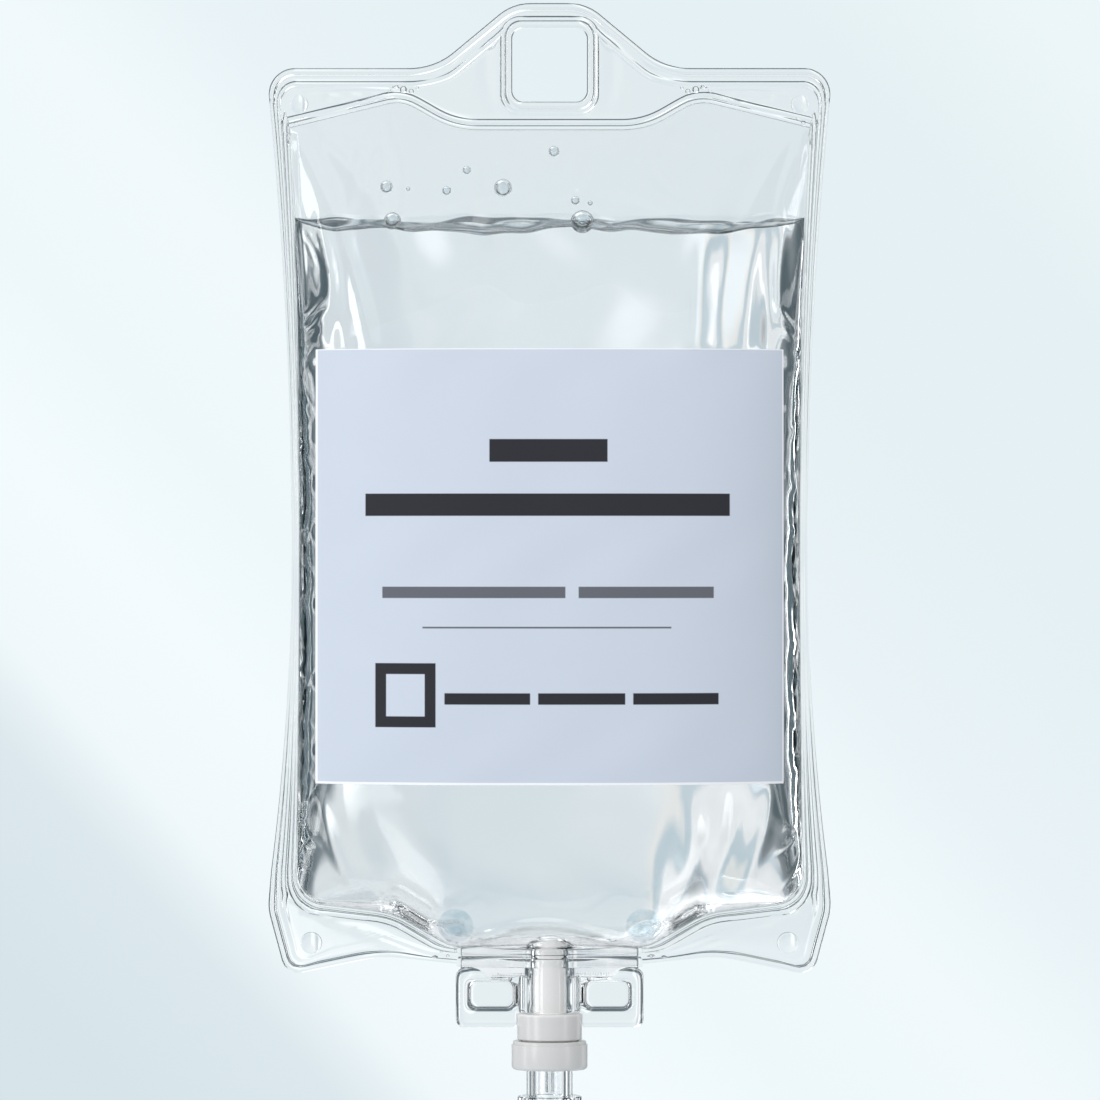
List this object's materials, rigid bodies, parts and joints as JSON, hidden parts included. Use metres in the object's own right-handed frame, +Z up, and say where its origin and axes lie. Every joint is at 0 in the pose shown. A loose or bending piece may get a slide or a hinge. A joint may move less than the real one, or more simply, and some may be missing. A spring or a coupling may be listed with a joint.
{
  "type": "iv fluid bag",
  "caption": "Soft clear infusion bag filled with fluid, with a hanger eye in its top lobe, a front label, and a port with finger wings, a white ring and a pull-out spike connector.",
  "frame": {"origin": "middle of the upper inner edge of the hanger eye, where the bag hangs on a hook, in the bag's middle plane", "axes": "+Z up as the bag hangs, -Y out of the labelled front, +X to the viewer's right when the front is seen"},
  "size_m": [0.1292, 0.0414, 0.262],
  "materials": {
    "clear_film": "clear, glossy flexible film",
    "clear_fluid": "clear liquid",
    "label_paper": "smooth pale label stock",
    "clear_moulding": "clear glossy moulding",
    "white_plastic": "satin white moulding",
    "grey_rubber": "matt rubber"
  },
  "bodies": {
    "bag": {"film_envelope": "clear_film", "infusion_fluid": "clear_fluid", "front_label": "label_paper", "port_block": "clear_moulding", "port_stopper": "white_plastic", "septum": "grey_rubber", "cap_ring": "white_plastic"},
    "connector": {"spike_connector": "clear_moulding"}
  },
  "joints": [
    {"name": "connector_pull", "type": "slide", "parent": "bag", "child": "connector", "axis": [0, 0, -1], "range_m": [0, 0.03]}
  ]
}
